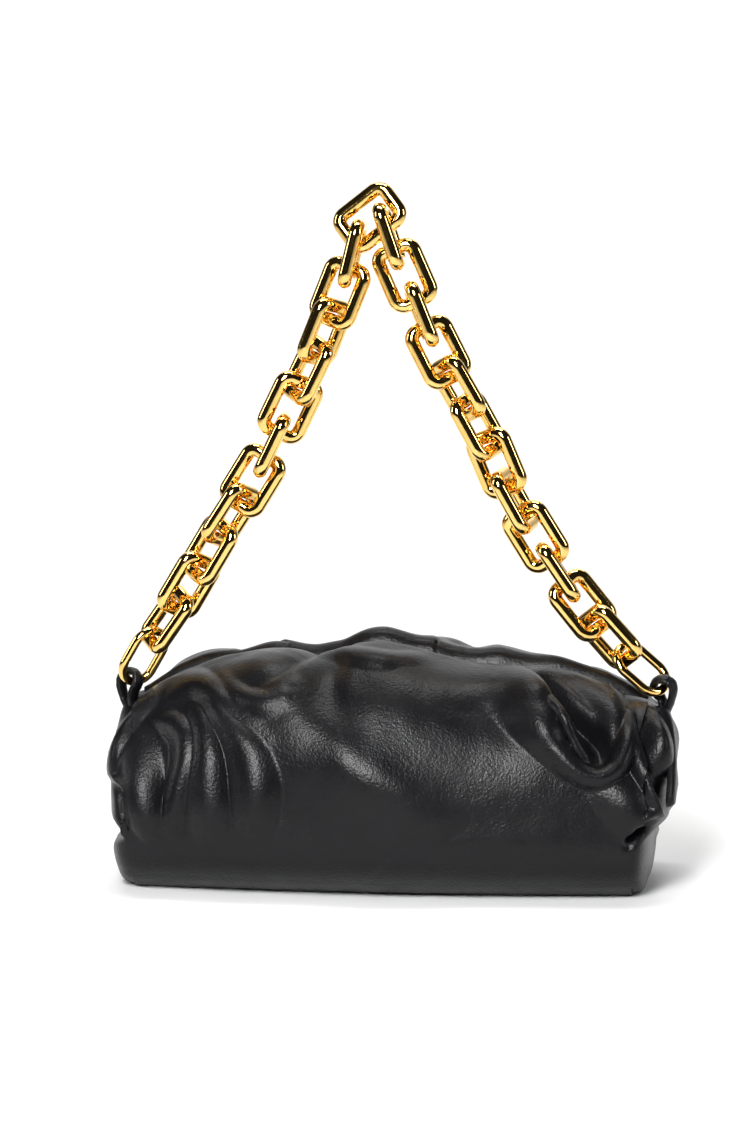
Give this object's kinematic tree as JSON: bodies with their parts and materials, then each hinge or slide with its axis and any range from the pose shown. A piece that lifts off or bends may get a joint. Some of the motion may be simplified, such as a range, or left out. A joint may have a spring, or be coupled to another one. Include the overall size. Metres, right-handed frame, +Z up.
{
  "type": "handbag",
  "caption": "Soft gathered leather pouch bag that opens on a hidden hinged frame, with a chunky link chain handle held up above it",
  "frame": {"origin": "middle of the underside, on the floor that the bag stands on", "axes": "+X along the bag to the viewer's right, +Y from front to back, +Z up"},
  "size_m": [0.3148, 0.1532, 0.3842],
  "materials": {
    "leather": "semi-matt fine grain",
    "lining": "brushed lining cloth",
    "board": "grey stiffener board",
    "steel": "plain rolled strip",
    "magnet": "nickel plated",
    "gold": "polished gold plating"
  },
  "bodies": {
    "pouch": {"body_leather": "leather", "left_end_leather": "leather", "right_end_leather": "leather", "lining": "lining", "base_board": "board", "left_ring_loop": "leather", "right_ring_loop": "leather", "left_loop_tab": "leather", "right_loop_tab": "leather", "left_hinge_pin": "steel", "right_hinge_pin": "steel"},
    "front_half": {"front_frame": "steel", "front_magnets": "magnet", "front_lip_leather": "leather"},
    "back_half": {"back_frame": "steel", "back_magnets": "magnet", "back_lip_leather": "leather"},
    "end_rings": {"ring_left": "gold", "ring_right": "gold"},
    "links_1": {"link_left_1": "gold", "link_right_1": "gold"},
    "links_2": {"link_left_2": "gold", "link_right_2": "gold"},
    "links_3": {"link_left_3": "gold", "link_right_3": "gold"},
    "links_4": {"link_left_4": "gold", "link_right_4": "gold"},
    "links_5": {"link_left_5": "gold", "link_right_5": "gold"},
    "links_6": {"link_left_6": "gold", "link_right_6": "gold"},
    "links_7": {"link_left_7": "gold", "link_right_7": "gold"},
    "links_8": {"link_left_8": "gold", "link_right_8": "gold"},
    "links_9": {"link_left_9": "gold", "link_right_9": "gold"},
    "links_10": {"link_left_10": "gold", "link_right_10": "gold"},
    "links_11": {"link_left_11": "gold", "link_right_11": "gold"},
    "spare_link": {"link_right_12": "gold"},
    "top_link": {"link_top": "gold"}
  },
  "joints": [
    {"name": "front_half_swing", "type": "hinge", "parent": "pouch", "child": "front_half", "pos_m": [0, 0, 0.045], "axis": [1, 0, 0], "range_deg": [0, 40]},
    {"name": "back_half_swing", "type": "hinge", "parent": "pouch", "child": "back_half", "pos_m": [0, 0, 0.045], "axis": [1, 0, 0], "range_deg": [-40, 0]},
    {"name": "rings_swing", "type": "hinge", "parent": "pouch", "child": "end_rings", "pos_m": [-0.146, 0, 0.1105], "axis": [1, 0, 0.0003], "range_deg": [-15, 15]},
    {"name": "links_1_swing", "type": "hinge", "parent": "end_rings", "child": "links_1", "pos_m": [-0.13277, 0, 0.13369], "axis": [0.9998, 0, -0.0215], "range_deg": [-14, 14]},
    {"name": "links_2_swing", "type": "hinge", "parent": "links_1", "child": "links_2", "pos_m": [-0.1198, 0, 0.15244], "axis": [0.9995, 0, -0.0319], "range_deg": [-14, 14]},
    {"name": "links_3_swing", "type": "hinge", "parent": "links_2", "child": "links_3", "pos_m": [-0.10816, 0, 0.17205], "axis": [0.999, 0, -0.0452], "range_deg": [-14, 14]},
    {"name": "links_4_swing", "type": "hinge", "parent": "links_3", "child": "links_4", "pos_m": [-0.09652, 0, 0.19165], "axis": [0.9985, 0, -0.0551], "range_deg": [-14, 14]},
    {"name": "links_5_swing", "type": "hinge", "parent": "links_4", "child": "links_5", "pos_m": [-0.08421, 0, 0.21084], "axis": [0.998, 0, -0.0627], "range_deg": [-14, 14]},
    {"name": "links_6_swing", "type": "hinge", "parent": "links_5", "child": "links_6", "pos_m": [-0.07223, 0, 0.23024], "axis": [0.9976, 0, -0.0695], "range_deg": [-14, 14]},
    {"name": "links_7_swing", "type": "hinge", "parent": "links_6", "child": "links_7", "pos_m": [-0.06234, 0, 0.25078], "axis": [0.997, 0, -0.077], "range_deg": [-14, 14]},
    {"name": "links_8_swing", "type": "hinge", "parent": "links_7", "child": "links_8", "pos_m": [-0.05246, 0, 0.27133], "axis": [0.9949, 0, -0.1005], "range_deg": [-14, 14]},
    {"name": "links_9_swing", "type": "hinge", "parent": "links_8", "child": "links_9", "pos_m": [-0.04257, 0, 0.29188], "axis": [0.9901, 0, -0.1407], "range_deg": [-14, 14]},
    {"name": "links_10_swing", "type": "hinge", "parent": "links_9", "child": "links_10", "pos_m": [-0.03414, 0, 0.31306], "axis": [0.9789, 0, -0.2045], "range_deg": [-14, 14]},
    {"name": "links_11_swing", "type": "hinge", "parent": "links_10", "child": "links_11", "pos_m": [-0.02571, 0, 0.33425], "axis": [0.9555, 0, -0.2949], "range_deg": [-14, 14]},
    {"name": "spare_link_turn", "type": "hinge", "parent": "links_11", "child": "spare_link", "pos_m": [0.00095, 0, 0.34399], "axis": [-0.3251, 0, 0.9457], "range_deg": [-12, 12]},
    {"name": "top_link_swing", "type": "hinge", "parent": "links_11", "child": "top_link", "pos_m": [-0.02255, 0, 0.35784], "axis": [0.788, 0, 0.6157], "range_deg": [0, 24]}
  ],
  "couplings": [
    {"joint": "back_half_swing", "follows": "front_half_swing", "ratio": -1}
  ]
}
